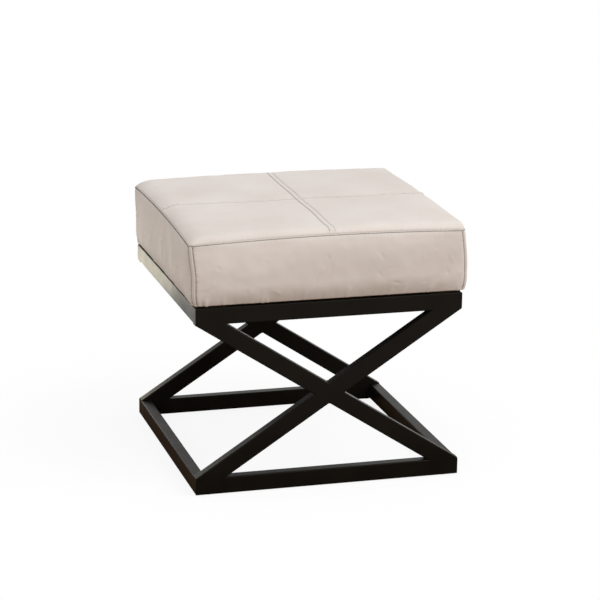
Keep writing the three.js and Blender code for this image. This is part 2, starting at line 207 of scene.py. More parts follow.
def makePlywood():
    # Birch plywood, sawn and unfinished: pale long grain on the faces, thin dark glue lines on the edge.
    material, tree, shader, place = newMaterial("birchPlywood", {"Roughness": 0.7})
    stretch = addNode(tree, "Mapping", {"Scale": (1, 14, 1)}, {"Vector": place})
    values = {"Scale": perMetre(45), "Detail": 8.0, "Distortion": 0.4}
    grain = addNode(tree, "TexNoise", values, {"Vector": stretch.outputs["Vector"]})
    stops = [(0.3, "#b58f5c"), (0.55, "#d0b084"), (0.8, "#dfc69e")]
    face = addNode(tree, "ValToRGB", links={"Fac": grain.outputs["Fac"]}, stops=stops)
    split = addNode(tree, "SeparateXYZ", links={"Vector": place})
    wavesPerMetre = {1: 2 * math.pi * perMetre(2.4)}
    plies = addNode(tree, "Math", wavesPerMetre, {0: split.outputs["Z"]}, operation="MULTIPLY")
    wave = addNode(tree, "Math", links={0: plies.outputs[0]}, operation="SINE")
    stops = [(0.0, "#8a6237"), (0.35, "#cfae7f"), (1.0, "#dcc297")]
    layers = addNode(tree, "ValToRGB", links={"Fac": wave.outputs[0]}, stops=stops)
    facing = addNode(tree, "NewGeometry")
    normal = addNode(tree, "SeparateXYZ", links={"Vector": facing.outputs["Normal"]})
    flat = addNode(tree, "Math", links={0: normal.outputs["Z"]}, operation="ABSOLUTE")
    onFace = addNode(tree, "Math", {1: 0.5}, {0: flat.outputs[0]}, operation="GREATER_THAN")
    links = {0: onFace.outputs[0], 6: layers.outputs["Color"], 7: face.outputs["Color"]}
    colour = addNode(tree, "Mix", links=links, data_type="RGBA")
    tree.links.new(colour.outputs[2], shader.inputs["Base Color"])
    showPattern(tree, shader, grain.outputs["Fac"], bump=(0.2, 0.4))
    return material


def makeFoam():
    # Polyurethane foam, slab cut: matt, pale yellow, with open cells.
    material, tree, shader, place = newMaterial("polyurethaneFoam", {"Roughness": 0.95})
    cells = addNode(tree, "TexVoronoi", {"Scale": perMetre(1.4)}, {"Vector": place})
    stops = [(0.0, "#c9b46f"), (0.5, "#eadca6"), (1.0, "#f3e9bf")]
    showPattern(tree, shader, cells.outputs["Distance"], stops, bump=(0.6, 0.6))
    return material


def makeWadding():
    # Polyester wadding, needled: white, fluffy and without gloss.
    material, tree, shader, place = newMaterial("polyesterWadding", {"Roughness": 1.0})
    values = {"Scale": perMetre(7), "Detail": 8.0, "Roughness": 0.7}
    fluff = addNode(tree, "TexNoise", values, {"Vector": place})
    showPattern(tree, shader, fluff.outputs["Fac"], [(0.3, "#dddad2"), (0.7, "#f6f4ef")], bump=(0.7, 1.5))
    return material


def makeSpunbond():
    # Spunbonded polypropylene cloth, thermally point-bonded: dull black with rows of pressed dots.
    material, tree, shader, place = newMaterial("spunbondCloth", {"Roughness": 0.9})
    # Real bonding dots are about 1 mm apart; they are drawn at 2.5 mm so that they show.
    diagonal = addNode(tree, "Mapping", {"Rotation": (0, 0, math.pi / 4)}, {"Vector": place})
    values = {"Scale": perMetre(2.5), "Randomness": 0.0}
    dots = addNode(tree, "TexVoronoi", values, {"Vector": diagonal.outputs["Vector"]})
    stops = [(0.15, "#33312f"), (0.4, "#1d1c1c")]
    showPattern(tree, shader, dots.outputs["Distance"], stops, bump=(0.5, 0.3))
    return material


def makeZincSteel(name, shiny):
    # Cold-formed steel, zinc plated: blue-grey metal, clouded by the plating bath.
    material, tree, shader, place = newMaterial(name, {"Metallic": 1.0})
    cloud = addNode(tree, "TexNoise", {"Scale": perMetre(4), "Detail": 4.0}, {"Vector": place})
    stops = [(0.3, "#9ea2a6"), (0.7, "#c3c7ca")]
    showPattern(tree, shader, cloud.outputs["Fac"], stops, gloss=(shiny, shiny + 0.15))
    return material


def makeNylon():
    # Polyamide, injection moulded with a spark-eroded finish: dull black with a fine grit.
    material, tree, shader, place = newMaterial("mouldedNylon", {"Roughness": 0.55})
    grit = addNode(tree, "TexNoise", {"Scale": perMetre(0.8), "Detail": 3.0}, {"Vector": place})
    showPattern(tree, shader, grit.outputs["Fac"], [(0.3, "#151515"), (0.7, "#1f1f1e")], bump=(0.3, 0.2))
    return material


powderCoat = makePowderCoat()
fauxLeather = makeFauxLeather()
thread = makeThread()
plywood = makePlywood()
foam = makeFoam()
waddingFleece = makeWadding()
spunbond = makeSpunbond()
zincSteel = makeZincSteel("zincPlatedSteel", 0.3)
stapleSteel = makeZincSteel("galvanisedStaple", 0.4)
nylon = makeNylon()
print("materials made")


# Meshes

def addPiece(name, vertices, faces, material, smooth=True):
    # The vertices are in millimetres. Every piece rides on the stool's one body.
    mesh = bpy.data.meshes.new(name)
    mesh.from_pydata((np.asarray(vertices) * mm).tolist(), [], faces)
    mesh.update()
    for polygon in mesh.polygons:
        polygon.use_smooth = smooth
    mesh.materials.append(material)
    piece = bpy.data.objects.new(name, mesh)
    bpy.context.collection.objects.link(piece)
    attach(piece, body)
    return piece


def gridFaces(rows, columns, start=0, closed=False):
    # Four-sided faces of a grid of points that are stored row after row.
    faces = []
    for i in range(rows - 1):
        for j in range(columns if closed else columns - 1):
            here = start + i * columns + j
            beside = start + i * columns + (j + 1) % columns
            faces.append((here, beside, beside + columns, here + columns))
    return faces


def joined(parts):
    # One list of vertices and one of faces from several.
    vertices, faces, start = [], [], 0
    for partVertices, partFaces in parts:
        vertices.append(partVertices)
        faces += [tuple(index + start for index in face) for face in partFaces]
        start += len(partVertices)
    return np.concatenate(vertices), faces


def unit(vectors):
    return vectors / np.maximum(np.linalg.norm(vectors, axis=-1, keepdims=True), 1e-12)


def thickened(vertices, faces, normals, outside, inside):
    # A closed sheet: the faces raised by outside, the same turned over and sunk by inside, and a rim.
    edges = {}
    for face in faces:
        for a, b in zip(face, face[1:] + face[:1]):
            if not edges.pop((b, a), False):
                edges[(a, b)] = True
    count = len(vertices)
    rim = [(b, a, a + count, b + count) for a, b in edges]
    under = [tuple(index + count for index in face[::-1]) for face in faces]
    return np.concatenate([vertices + normals * outside, vertices - normals * inside]), faces + under + rim


def swept(path, across, upright, width, height, sides=8):
    # A closed bar of oval section along a path. width and height may change from point to point.
    angle = np.arange(sides) / sides * 2 * math.pi
    width, height = (np.broadcast_to(size, len(path))[:, None, None] for size in (width, height))
    ring = width / 2 * np.cos(angle)[None, :, None] * across[:, None, :]
    ring = ring + height / 2 * np.sin(angle)[None, :, None] * upright[:, None, :]
    faces = gridFaces(len(path), sides, closed=True)
    faces.append(tuple(range(sides))[::-1])
    faces.append(tuple((len(path) - 1) * sides + j for j in range(sides)))
    return (path[:, None, :] + ring).reshape(-1, 3), faces


def stacked(x, y, z):
    return np.stack(np.broadcast_arrays(x, y, z), axis=-1)


def bell(distance, width):
    return np.exp(-((distance / width) ** 2))


def smoothStep(share):
    share = np.clip(share, 0, 1)
    return share * share * (3 - 2 * share)


# Uneven waves: wavelength in millimetres, seed and number of layers
waves = {
    "middleSeam": (260, 11, 3),
    "crossSeam": (230, 12, 3),
    "cornerDips": (11, 21, 5),
    "cornerDraw": (8, 41, 7),
    "puckers": (9, 31, 7),
    "gathers": (15, 51, 6),
    "softness": (95, 61, 7),
    "crumple": (26, 71, 9),
    "topDips": (12, 81, 5),
    "topDraw": (8, 86, 7),
    "topSoftness": (130, 95, 7),
    "knots": (6, 161, 5),
    "dustCloth": (90, 131, 7),
}
# How much the layers differ: shares of the wavelength and heights of ripples, and shares for hills
waveSpread = {"length": (0.6, 1.7), "height": (0.5, 1.0), "hillLength": (0.7, 1.8)}


def ripple(along, name, number=0):
    # Seeded uneven waves along a line, from about -1 to 1.
    wavelength, seed, layers = waves[name]
    draw = np.random.default_rng(seed + number)
    total = np.zeros_like(np.asarray(along, float))
    for _ in range(layers):
        length = wavelength * draw.uniform(*waveSpread["length"])
        height = draw.uniform(*waveSpread["height"])
        total += height * np.sin(2 * np.pi * along / length + draw.uniform(0, 2 * np.pi))
    return total / math.sqrt(layers) / np.mean(waveSpread["height"])


def cloudWaves(x, y, name, number=0):
    # Seeded soft hills over a plane, from about -1 to 1.
    wavelength, seed, layers = waves[name]
    draw = np.random.default_rng(seed + number)
    total = np.zeros(np.broadcast(x, y).shape)
    for _ in range(layers):
        angle = draw.uniform(0, 2 * np.pi)
        length = wavelength * draw.uniform(*waveSpread["hillLength"])
        across = x * math.cos(angle) + y * math.sin(angle)
        total += np.sin(2 * np.pi * across / length + draw.uniform(0, 2 * np.pi))
    return total / math.sqrt(layers)


# Cushion

cushion = {
    "base": boxMm("cover_side_front")[0][2],
    "sideHeight": 115.0,
    "cornerDrop": 5.6,
    "cornerDropPower": 1.8,
    "crown": 12.2,
    "shoulderRuns": {"front": 21.0, "right": 13.5, "back": 25.0, "left": 30.0},
    # How far the side stands out past the frame at its foot, belly and seam, and how high the tuck is
    "atMiddle": (0.6, 8.2, 0.8, 34.0),
    "atCorner": (1.0, 3.8, 3.1, 22.0),
    "middlePower": 5.0,
    "highStartShare": 0.4,
    "highPower": 4.0,
    "cornerRadius": 12.0,
    "lowerEdge": 3.6,
    "foldUnder": 24.0,
    "crossSeamShift": -2.9,
    "crossSeamTurn": -5.8,
    "middleSeamShift": 8.0,
    "middleSeamTurn": 2.2,
    "seamWander": 1.2,
}

# Upholstered by hand, the top is a little off the foot. These are millimetres at the cushion's edges,
# and the share of its height where the lean starts.
lean = {
    "startShare": 0.4,
    "footShift": 2.4,
    "footWiden": 4.0,
    "footTurn": 1.4,
    "topShiftX": -1.2,
    "topShiftY": -0.3,
    "topWidenX": 3.9,
    "topWidenY": -1.5,
    "topTurn": 3.0,
    "tiltRight": 1.5,
    "tiltBack": 0.8,
}


def cornerTurn(distance):
    # How far a point so near a corner moves along the side and inwards, to round the corner.
    radius = cushion["cornerRadius"]
    angle = np.clip(1 - distance / radius, 0, 1) * math.pi / 4
    along = np.where(distance < radius, radius - distance - radius * np.sin(angle), 0.0)
    return along, radius * (1 - np.cos(angle))


def profile(height, foot, belly, seam, tuck):
    low = np.clip(1 - height * cushion["sideHeight"] / tuck, 0, 1) ** 2
    start = cushion["highStartShare"]
    high = np.clip((height - start) / (1 - start), 0, 1) ** cushion["highPower"]
    return belly - (belly - foot) * low - (belly - seam) * high


def outAt(along, height):
    # How far the side stands out past the frame.
    nearCorner = np.abs(along) ** cushion["middlePower"]
    atCorner, atMiddle = (profile(height, *cushion[key]) for key in ("atCorner", "atMiddle"))
    return nearCorner * atCorner + (1 - nearCorner) * atMiddle


def footAngle(along):
    # The roll under the foot turns until it is in line with the side above it.
    rise = 0.01
    slope = (outAt(along, rise) - outAt(along, 0.0)) / (rise * cushion["sideHeight"])
    return math.pi / 2 - np.arctan(slope)


def sideLow(along):
    return cushion["base"] + cushion["lowerEdge"] * (1 - np.cos(footAngle(along)))


def seamHeight(u, v):
    drop = cushion["cornerDrop"] * np.abs(u * v) ** cushion["cornerDropPower"]
    return cushion["base"] + cushion["sideHeight"] - drop + lean["tiltRight"] * u + lean["tiltBack"] * v


def leaned(x, y, height):
    share = smoothStep((height - lean["startShare"]) / (1 - lean["startShare"]))
    toRight, toBack = x / half, y / half
    foot = lean["footShift"] + lean["footWiden"] * toRight + lean["footTurn"] * toBack
    top = lean["topShiftX"] + lean["topWidenX"] * toRight + lean["topTurn"] * toBack
    back = lean["topShiftY"] + lean["topWidenY"] * toBack - lean["topTurn"] * toRight
    return x + foot * (1 - share) + top * share, y + back * share


def turned(x, y, turns):
    for _ in range(turns % 4):
        x, y = -y, x
    return x, y


def roundedSide(along, reach, out, turns):
    turnAlong, turnIn = cornerTurn((1 - np.abs(along)) * reach)
    return turned(along * reach - np.sign(along) * turnAlong, turnIn - out, turns)


def sidePlace(along, height, turns, inset=0.0, low=None):
    # along runs from -1 to 1 between the corners and height from 0 to 1, at the top seam.
    low = sideLow(along) if low is None else low
    reach = half + outAt(1.0, height) - inset
    out = half + outAt(along, height) - inset
    x, y = leaned(*roundedSide(along, reach, out, turns), height)
    return stacked(x, y, low + (seamHeight(*turned(along, -1.0, turns)) - inset - low) * height)


def underPlace(along, share, turns):
    # The cover's edge, folded in under the seat, then round its foot. At share 1 it meets the side.
    radius = cushion["lowerEdge"]
    end = footAngle(along)
    arc = np.clip(share * 2 - 1, 0, 1) * end
    unfold = np.clip(share * 2, 0, 1)
    roll = radius * (np.sin(end) - np.sin(arc))
    edge = half - cushion["foldUnder"]
    reach, out = (
        half + foot - roll - (1 - unfold) * (half + foot - radius * np.sin(end) - edge)
        for foot in (outAt(1.0, 0.0), outAt(along, 0.0))
    )
    x, y = leaned(*roundedSide(along, reach, out, turns), 0.0)
    return stacked(x, y, cushion["base"] + radius * (1 - np.cos(arc)))


def topEdges(u, v):
    # For each side of the top, in the order of sideNames: the share along it and the distance from it
    return (u, (1 + v) * half), (v, (1 - u) * half), (-u, (1 - v) * half), (-v, (1 + u) * half)


def topPlace(u, v, inset=0.0):
    # The top is stretched between its four edges, then crowned. u runs left to right, v front to back.
    s, t = ((u + 1) / 2)[..., None], ((v + 1) / 2)[..., None]

    def edge(along, turns):
        return sidePlace(along, 1.0, turns, inset)[..., :2]

    front, right, back, left = (edge(along, turns) for turns, (along, _) in enumerate(topEdges(u, v)))
    corners = [edge(np.array(sign), turns) for sign, turns in ((-1.0, 0), (1.0, 0), (1.0, 1), (1.0, 2))]
    flat = (1 - t) * front + t * back + (1 - s) * left + s * right
    flat -= (1 - s) * (1 - t) * corners[0] + s * (1 - t) * corners[1]
    flat -= s * t * corners[2] + (1 - s) * t * corners[3]
    wander = cushion["seamWander"]
    middleShift = cushion["middleSeamShift"] + cushion["middleSeamTurn"] * v
    crossShift = cushion["crossSeamShift"] + cushion["crossSeamTurn"] * u
    x = flat[..., 0] + (1 - u * u) * (middleShift + wander * ripple(v * half, "middleSeam"))
    y = flat[..., 1] + (1 - v * v) * (crossShift + wander * ripple(u * half, "crossSeam"))
    rise = cushion["crown"]
    for side, (_, distance) in zip(sideNames, topEdges(u, v)):
        rise = rise * (1 - np.clip(1 - distance / cushion["shoulderRuns"][side], 0, 1) ** 2)
    return stacked(x, y, seamHeight(u, v) - inset + rise)


# Wrinkles of the cover: it is sewn a little larger than the foam, blown up and held at its seams

cloth = {
    "columns": 73,
    "rows": 17,
    "frames": 16,
    "settings": {
        "quality": 6,
        "mass": 0.25,
        "tension_stiffness": 20,
        "compression_stiffness": 12,
        "shear_stiffness": 6,
        "bending_stiffness": 0.8,
        "use_pressure": True,
        "uniform_pressure_force": 3.0,
        "shrink_min": -0.02,
    },
    "cap": 6.0,  # millimetres that the cloth may move
    "evenOut": 24.0,  # what is wider than this is taken out again
    "sideShare": 0.08,
    "topShare": 0.13,
}


def blurred(field, spacing, width):
    for axis in (0, 1):
        reach = int(3 * width / spacing[axis])
        weights = np.exp(-0.5 * (np.arange(-reach, reach + 1) * spacing[axis] / width) ** 2)
        weights /= weights.sum()
        padding = [(reach, reach) if k == axis else (0, 0) for k in (0, 1)]
        padded = np.pad(field, padding, mode="reflect" if reach < field.shape[axis] else "edge")
        field = np.apply_along_axis(lambda line: np.convolve(line, weights, "valid"), axis, padded)
    return field


def sampled(field, rowPlace, columnPlace):
    # Smooth values between the points of a grid, from places that run 0 to 1 each way. The weights are
    # those of a cubic through four points.
    rows, columns = field.shape
    result = 0
    r = np.clip(rowPlace, 0, 1) * (rows - 1)
    c = np.clip(columnPlace, 0, 1) * (columns - 1)
    r0, c0 = np.floor(r).astype(int), np.floor(c).astype(int)

    def weights(f):
        return (
            -0.5 * f + f ** 2 - 0.5 * f ** 3,
            1 - 2.5 * f ** 2 + 1.5 * f ** 3,
            0.5 * f + 2 * f ** 2 - 1.5 * f ** 3,
            -0.5 * f ** 2 + 0.5 * f ** 3,
        )

    for i, wi in enumerate(weights(r - r0)):
        for j, wj in enumerate(weights(c - c0)):
            row = np.clip(r0 + i - 1, 0, rows - 1)
            column = np.clip(c0 + j - 1, 0, columns - 1)
            result = result + wi * wj * field[row, column]
    return result


def outwardNormals(points):
    return unit(np.cross(np.gradient(points, axis=1), np.gradient(points, axis=0)))


def makeCage(grids):
    # One mesh of all grids, joined where they meet, with the points that the seams hold in a group.
    index, vertices, faces, held, numbers = {}, [], [], [], []
    for grid in grids:
        ids = np.zeros(grid.shape[:2], int)
        for place in np.ndindex(ids.shape):
            key = tuple(np.round(grid[place], 1))
            if key not in index:
                index[key] = len(vertices)
                vertices.append(grid[place])
            ids[place] = index[key]
        lines = [ids[0], ids[:, 0], ids[:, -1]]
        if not numbers:
            # The top comes first, and its middle seams hold it too.
            middle = cloth["columns"] // 2
            lines += [ids[-1], ids[middle], ids[:, middle]]
        held += np.concatenate(lines).tolist()
        faces += [ids.ravel()[list(face)].tolist() for face in gridFaces(*ids.shape)]
        numbers.append(ids)
    cage = bpy.data.meshes.new("wrinkleCage")
    cage.from_pydata((np.array(vertices) * mm).tolist(), [], faces)
    holder = bpy.data.objects.new("wrinkleCage", cage)
    bpy.context.collection.objects.link(holder)
    holder.vertex_groups.new(name="seams").add(sorted(set(held)), 1.0, "REPLACE")
    return holder, numbers


def simulateWrinkles():
    shares, heights = (np.linspace(*ends) for ends in ((-1, 1, cloth["columns"]), (0, 1, cloth["rows"])))
    grids = [topPlace(*np.meshgrid(shares, shares))]
    grids += [sidePlace(shares[None, :], heights[:, None], turns) for turns in range(4)]
    holder, numbers = makeCage(grids)
    modifier = holder.modifiers.new("relax", "CLOTH")
    for name, value in cloth["settings"].items():
        setattr(modifier.settings, name, value)
    modifier.settings.vertex_group_mass = "seams"
    modifier.settings.effector_weights.gravity = 0
    modifier.collision_settings.use_collision = False
    modifier.point_cache.frame_start = 1
    modifier.point_cache.frame_end = cloth["frames"] + 1
    scene = bpy.context.scene
    for number in range(1, cloth["frames"] + 1):
        scene.frame_set(number)
    evaluated = holder.evaluated_get(bpy.context.evaluated_depsgraph_get())
    cage = holder.data
    moved = np.empty(len(cage.vertices) * 3)
    evaluated.data.vertices.foreach_get("co", moved)
    moved = moved.reshape(-1, 3) / mm
    scene.frame_set(1)
    bpy.data.objects.remove(holder)
    bpy.data.meshes.remove(cage)
    step = 2 * half / (cloth["columns"] - 1)
    rowSteps = [step] + [cushion["sideHeight"] / (cloth["rows"] - 1)] * 4
    strengths = [cloth["topShare"]] + [cloth["sideShare"]] * 4
    fields = []
    for grid, ids, rowStep, strength in zip(grids, numbers, rowSteps, strengths):
        move = moved[ids] - grid
        size = np.linalg.norm(move, axis=-1, keepdims=True)
        move = move * np.minimum(1, cloth["cap"] / np.maximum(size, 1e-6))
        out = (move * outwardNormals(grid)).sum(-1)
        fields.append((out - blurred(out, (rowStep, step), cloth["evenOut"])) * strength)
    return fields


wrinkles = simulateWrinkles()
print("cover relaxed, wrinkles up to", [round(float(np.abs(field).max()), 2) for field in wrinkles], "mm")


# Relief of the cover, in millimetres out of the surface

# Distance of the stitches from each kind of seam
stitchLines = {"edge": 1.8, "corner": 5.4, "middle": 4.8, "cross": 4.8}

relief = {
    # Ribs and grooves along a seam or a row of stitches: how proud, how far from it, how wide
    "edgeCrease": (-1.1, 0.0, 1.2),
    "edgeRoll": (0.3, 7.0, 4.5),
    "seamCrease": (-0.35, 0.0, 0.8),
    "stitchDip": (-0.7, 0.0, 1.5),
    "cornerDraw": (-0.25, 2.0, 3.5),
    "topDraw": (0.2, 2.0, 4.0),
    "channel": (-1.7, 0.0, 40.0),
    "knot": (0.9, 7.0, 5.0),  # where a middle seam of the top runs into the edge seam
    "dipUneven": 0.3,
    "knotUneven": 0.8,
    "cornerRidge": 1.6,
    "cornerRidgeFlat": 1.5,
    "middleRidge": 0.5,
    "middleRidgeShare": 0.7,
    "puckers": 0.8,
    "puckerStart": 2.0,
    "puckerReach": 3.6,
    "gathers": 0.18,
    "gatherReach": 12.0,
    "softness": 0.5,
    "softnessStretch": (1.3, 0.7),
    "topSoftness": 0.3,
    "crumple": 0.15,
    "crumpleStretch": (1.0, 0.8),
    "apart": 700.0,  # each side takes its waves from another stretch
    "seamBend": 3.0,  # within this of the top seam, the relief goes the seam's own way out
}

# Distances from a corner or seam over which each form grows to its full height
fades = {
    "belowSeam": 4.0,
    "edgeRoll": 12.0,
    "puckers": 10.0,
    "gathers": 8.0,
    "pleats": 6.0,
    "creases": 9.0,
    "wrinkles": 10.0,
    "softness": 16.0,
    "topStart": 2.0,
    "top": 9.0,
}

# Short creases strewn over the sides, in millimetres: their number on each side, and ranges
creases = {
    "count": 26,
    "seed": 151,
    "reachShare": 0.94,
    "angle": (0.2, 2.9),
    "height": (6.0, 78.0),
    "length": (3.5, 9.0),
    "width": 1.9,
    "depth": (0.3, 0.9),
}

# Small pleats that rise from the foot: share along the side, height, how far they stand out, slant
pleats = {
    "front": [(-0.935, 7, -1.3, 0.2), (-0.91, 11, 2.4, 0.25), (-0.78, 10, 0.9, 0.0), (-0.505, 15, 1.7, 0.1),
              (-0.47, 12, 1.0, -0.15), (-0.2, 16, 0.7, 0.2), (0.12, 14, 0.8, -0.2), (0.43, 12, 0.7, 0.1),
              (0.72, 15, 0.9, 0.1), (0.94, 10, 1.2, -0.3)],
    "right": [(-0.94, 10, 1.2, 0.2), (-0.6, 22, 0.8, -0.1), (-0.1, 18, 0.6, 0.2), (0.35, 24, 0.8, 0.1),
              (0.7, 16, 0.7, -0.1), (0.95, 9, 1.3, -0.3)],
    "back": [(-0.95, 9, 1.4, 0.3), (-0.66, 18, 0.7, 0.1), (-0.25, 24, 0.9, -0.2), (0.2, 16, 0.5, 0.1),
             (0.55, 22, 0.8, -0.1), (0.93, 10, 1.1, -0.2)],
    "left": [(-0.94, 10, 1.3, 0.2), (-0.7, 40, 0.8, 0.1), (-0.35, 60, 0.7, -0.1), (0.05, 45, 0.6, 0.1),
             (0.4, 70, 0.8, 0.1), (0.74, 30, 0.8, -0.1), (0.95, 12, 1.2, -0.3)],
}
pleatShape = {"strength": 1.2, "width": 1.8, "widthByHeight": 0.05, "spread": 0.08}


def rib(distance, name):
    proud, away, width = relief[name]
    return proud * bell(distance - away, width)


def shortCreases(place, fromFoot, turns):
    draw = np.random.default_rng(creases["seed"] + turns)
    reach = creases["reachShare"]
    out = 0
    for _ in range(creases["count"]):
        middle, angle = draw.uniform(-reach, reach) * half, draw.uniform(*creases["angle"])
        height, length, depth = (draw.uniform(*creases[key]) for key in ("height", "length", "depth"))
        x, y = place - middle, fromFoot - height
        lengthwise = bell(x * math.cos(angle) + y * math.sin(angle), length)
        crosswise = bell(y * math.cos(angle) - x * math.sin(angle), creases["width"])
        out = out + draw.choice((-1, 1)) * depth * lengthwise * crosswise
    return out


def edgePuckers(along, fromSeam, turns):
    # Nil on the seam itself, so that the panels on its two sides still meet.
    place = along * half + relief["apart"] * turns
    reach = np.exp(-fromSeam / relief["puckerReach"]) * (1 - np.exp(-fromSeam / relief["puckerStart"]))
    fade = smoothStep((1 - np.abs(along)) * half / fades["puckers"])
    return relief["puckers"] * ripple(place, "puckers") * reach * fade


def sideRelief(along, height, turns):
    fromCorner = (1 - np.abs(along)) * half
    fromSeam = (1 - height) * cushion["sideHeight"]
    fromFoot = height * cushion["sideHeight"]
    place = along * half + relief["apart"] * turns
    belowSeam = 1 - bell(fromSeam, fades["belowSeam"])
    inner = smoothStep(fromSeam / fades["softness"]) * smoothStep(fromCorner / fades["softness"])
    out = rib(fromSeam, "edgeCrease")
    out = out + rib(fromSeam, "edgeRoll") * smoothStep(fromCorner / fades["edgeRoll"])
    flat, stitchLine = relief["cornerRidgeFlat"], stitchLines["corner"]
    ridge = relief["cornerRidge"] * (1 - smoothStep((fromCorner - flat) / (stitchLine - flat)))
    out = out + belowSeam * (rib(fromCorner, "seamCrease") + ridge)
    nearest = (turns + (along > 0)) % 4
    for corner in range(4):
        uneven = 1 + relief["dipUneven"] * ripple(fromFoot, "cornerDips", corner)
        dip = uneven * rib(fromCorner - stitchLine, "stitchDip")
        drawn = ripple(fromFoot, "cornerDraw", corner) * rib(fromCorner - stitchLine, "cornerDraw")
        out = out + np.where(nearest == corner, belowSeam * (dip + drawn), 0)
    out = out + edgePuckers(along, fromSeam, turns)
    gather = relief["gathers"] * ripple(place, "gathers", turns) * np.exp(-fromFoot / relief["gatherReach"])
    out = out + gather * smoothStep(fromCorner / fades["gathers"])
    for share, tall, proud, slant in pleats[sideNames[turns]]:
        wide = pleatShape["width"] + pleatShape["widthByHeight"] * tall + pleatShape["spread"] * fromFoot
        pleat = bell((along - share) * half - slant * fromFoot, wide) * bell(fromFoot, tall)
        out = out + pleatShape["strength"] * proud * pleat * smoothStep(fromCorner / fades["pleats"])
    for name in ("softness", "crumple"):
        alongStretch, upStretch = relief[name + "Stretch"]
        hills = cloudWaves(place * alongStretch, fromFoot * upStretch, name, turns)
        out = out + relief[name] * inner * hills
    out = out + smoothStep(fromCorner / fades["creases"]) * shortCreases(along * half, fromFoot, turns)
    wrinkle = sampled(wrinkles[1 + turns], height, (along + 1) / 2)
    return out + wrinkle * smoothStep(fromCorner / fades["wrinkles"])


def topRelief(u, v):
    x, y = u * half, v * half
    fromSideX, fromSideY = half - np.abs(x), half - np.abs(y)
    start, fade = fades["topStart"], fades["top"]
    inner = smoothStep((fromSideX - start) / fade) * smoothStep((fromSideY - start) / fade)
    out = np.minimum(rib(fromSideX, "edgeCrease"), rib(fromSideY, "edgeCrease"))
    out = out + inner * np.minimum(rib(x, "channel"), rib(y, "channel"))
    for number, (across, along, seam) in enumerate(((x, y, "middle"), (y, x, "cross"))):
        distance = np.abs(across)
        fromStitches = distance - stitchLines[seam]
        ridge = relief["middleRidge"] * bell(distance, stitchLines[seam] * relief["middleRidgeShare"])
        uneven = 1 + relief["dipUneven"] * ripple(along, "topDips", number)
        drawn = ripple(along, "topDraw", number) * rib(fromStitches, "topDraw")
        dip = uneven * rib(fromStitches, "stitchDip")
        out = out + inner * (rib(distance, "seamCrease") + ridge + dip + drawn)
    for turns, (along, distance) in enumerate(topEdges(u, v)):
        out = out + edgePuckers(along, distance, turns)
    for beside, inward in ((x, fromSideY), (y, fromSideX)):
        knot = bell(beside, relief["knot"][2]) * rib(inward, "knot")
        out = out + knot * (1 + relief["knotUneven"] * ripple(beside + inward, "knots"))
    out = out + relief["topSoftness"] * inner * cloudWaves(x, y, "topSoftness")
    return out + inner * sampled(wrinkles[0], (v + 1) / 2, (u + 1) / 2)


def seamWay(along, turns):
    # The way out of the top seam, half up and half outwards. Both panels bend towards it.
    distance = (1 - np.abs(along)) * half
    angle = np.sign(along) * np.clip(1 - distance / cushion["cornerRadius"], 0, 1) * math.pi / 4
    x, y = turned(np.sin(angle), -np.cos(angle), turns)
    return unit(stacked(x, y, 1.0))


def normalsOf(place, p, q, lowest):
    step = 2e-3
    alongP = place(np.clip(p + step, -1, 1), q) - place(np.clip(p - step, -1, 1), q)
    alongQ = place(p, np.clip(q + step, lowest, 1)) - place(p, np.clip(q - step, lowest, 1))
    return unit(np.cross(alongP, alongQ))


def asGrids(p, q):
    return np.broadcast_arrays(np.asarray(p, float), np.asarray(q, float))


def raisedTowards(points, normals, way, fromSeam, amount):
    near = bell(fromSeam, relief["seamBend"])[..., None]
    return points + unit(normals * (1 - near) + way * near) * amount[..., None]


def sideSurface(turns, along, height):
    along, height = asGrids(along, height)
    points = sidePlace(along, height, turns)
    normals = normalsOf(lambda p, q: sidePlace(p, q, turns), along, height, 0)
    fromSeam = (1 - height) * cushion["sideHeight"]
    amount = sideRelief(along, height, turns)
    return raisedTowards(points, normals, seamWay(along, turns), fromSeam, amount), normals


def underSurface(turns, along, share):
    along, share = asGrids(along, share)
    points = underPlace(along, share, turns)
    normals = normalsOf(lambda p, q: underPlace(p, q, turns), along, share, 0)
    amount = sideRelief(along, np.zeros_like(along), turns) * smoothStep(share * 2 - 1)
    return points + normals * amount[..., None], normals


def topSurface(u, v):
    u, v = asGrids(u, v)
    points = topPlace(u, v)
    normals = normalsOf(topPlace, u, v, -1)
    edges = topEdges(u, v)
    distances = np.stack([distance for _, distance in edges])
    ways = np.stack([seamWay(along, turns) for turns, (along, _) in enumerate(edges)])
    way = np.take_along_axis(ways, distances.argmin(0)[None, ..., None], 0)[0]
    return raisedTowards(points, normals, way, distances.min(0), topRelief(u, v)), normals


coverMesh = {
    "spacing": 2.4,
    "fine": [0, 0.4, 0.8, 1.3, 1.9, 2.6, 3.4, 4.2, 5.0, 5.8, 6.7, 7.8, 9.4, 11.6],
    "foldRows": 18,
    "thickness": 1.1,
}


def gradedLine(length):
    # Places from 0 to length, close together near both ends.
    ends = np.array(coverMesh["fine"])
    count = max(2, round((length - 2 * ends[-1]) / coverMesh["spacing"]))
    middle = np.linspace(ends[-1], length - ends[-1], count + 1)[1:-1]
    return np.concatenate([ends, middle, length - ends[::-1]])


def coverPanel(name, points, normals, node):
    vertices, ways = points.reshape(-1, 3), normals.reshape(-1, 3)
    sheet = thickened(vertices, gridFaces(*points.shape[:2]), ways, 0.0, coverMesh["thickness"])
    panel = addPiece(name, *sheet, fauxLeather)
    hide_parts(node)


